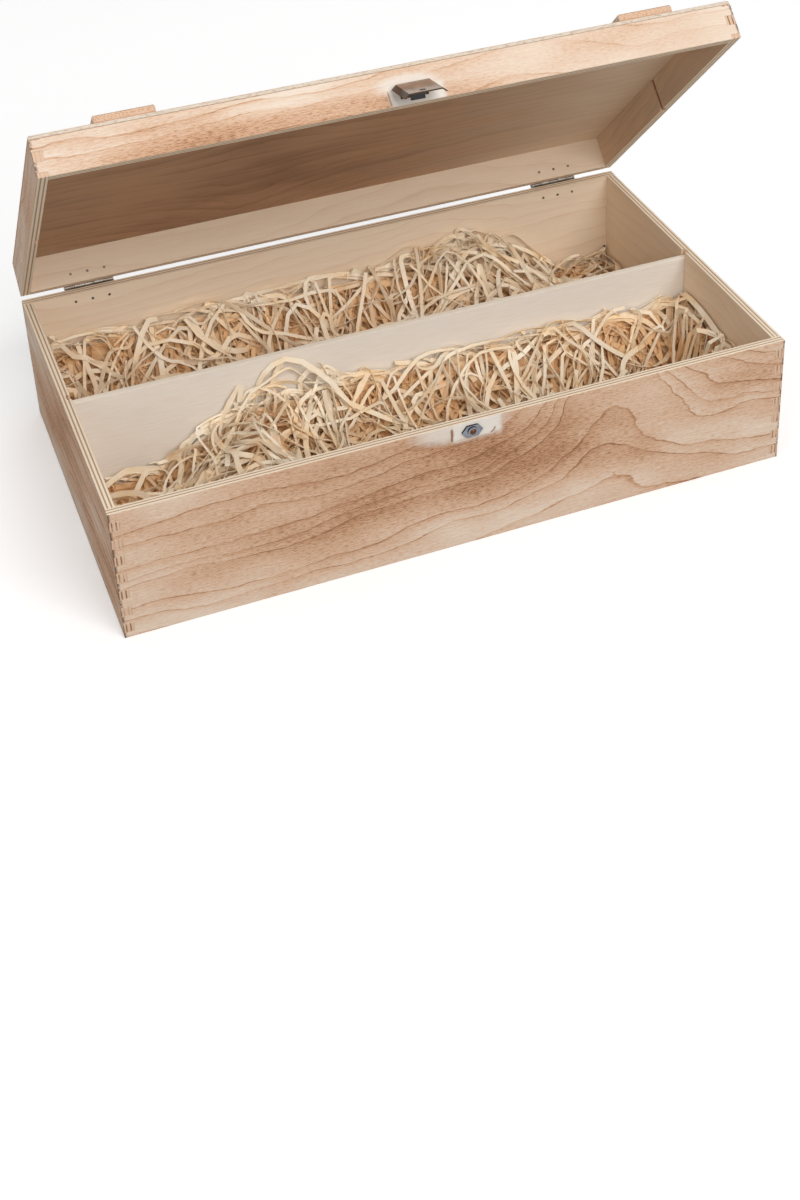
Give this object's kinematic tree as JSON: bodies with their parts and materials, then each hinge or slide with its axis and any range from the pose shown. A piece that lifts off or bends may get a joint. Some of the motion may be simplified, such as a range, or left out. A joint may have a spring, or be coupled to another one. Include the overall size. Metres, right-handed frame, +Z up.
{
  "type": "wine box",
  "caption": "Hinged plywood wine box with finger-jointed corners, a divider, wood wool bedding, a battened lid and a sprung metal clasp.",
  "frame": {"origin": "middle of the underside of the box", "axes": "+X to the right along the box's length, +Y to the hinged back, +Z up"},
  "size_m": [0.35, 0.2188, 0.2318],
  "materials": {
    "flamed_plywood": "flamed, unvarnished",
    "pale_plywood": "sanded, unvarnished",
    "wood_wool": "loose shavings",
    "hinge_steel": "aged",
    "clasp_nickel": "antique nickel",
    "spring_black": "blackened",
    "keeper_steel": "dull",
    "keeper_bronze": "aged"
  },
  "bodies": {
    "case": {"front_panel": "flamed_plywood", "back_panel": "flamed_plywood", "left_end": "flamed_plywood", "right_end": "flamed_plywood", "bottom_panel": "flamed_plywood", "divider": "pale_plywood", "keeper_plate": "keeper_steel", "keeper_nail": "keeper_bronze", "base_hinge_leaf_left": "hinge_steel", "base_hinge_leaf_right": "hinge_steel", "hinge_pin_left": "hinge_steel", "hinge_pin_right": "hinge_steel", "base_hinge_nails": "hinge_steel", "wood_wool_front": "wood_wool", "wood_wool_rear": "wood_wool"},
    "lid": {"lid_front": "flamed_plywood", "lid_back": "flamed_plywood", "lid_left_end": "flamed_plywood", "lid_right_end": "flamed_plywood", "lid_top": "flamed_plywood", "batten_left": "flamed_plywood", "batten_right": "flamed_plywood", "lid_hinge_leaf_left": "hinge_steel", "lid_hinge_leaf_right": "hinge_steel", "lid_hinge_nails": "hinge_steel", "clasp_bracket": "clasp_nickel", "clasp_nails": "clasp_nickel", "clasp_pin": "clasp_nickel"},
    "clasp": {"clasp_flap": "clasp_nickel", "clasp_spring": "spring_black"}
  },
  "joints": [
    {"name": "lid_hinge", "type": "hinge", "parent": "case", "child": "lid", "pos_m": [0, 0.1023, 0.07315], "axis": [-1, 0, 0], "range_deg": [-45, 135]},
    {"name": "clasp_hinge", "type": "hinge", "parent": "lid", "child": "clasp", "pos_m": [0.003, -0.03675, 0.22302], "axis": [-1, 0, 0], "range_deg": [-55, 65]}
  ]
}
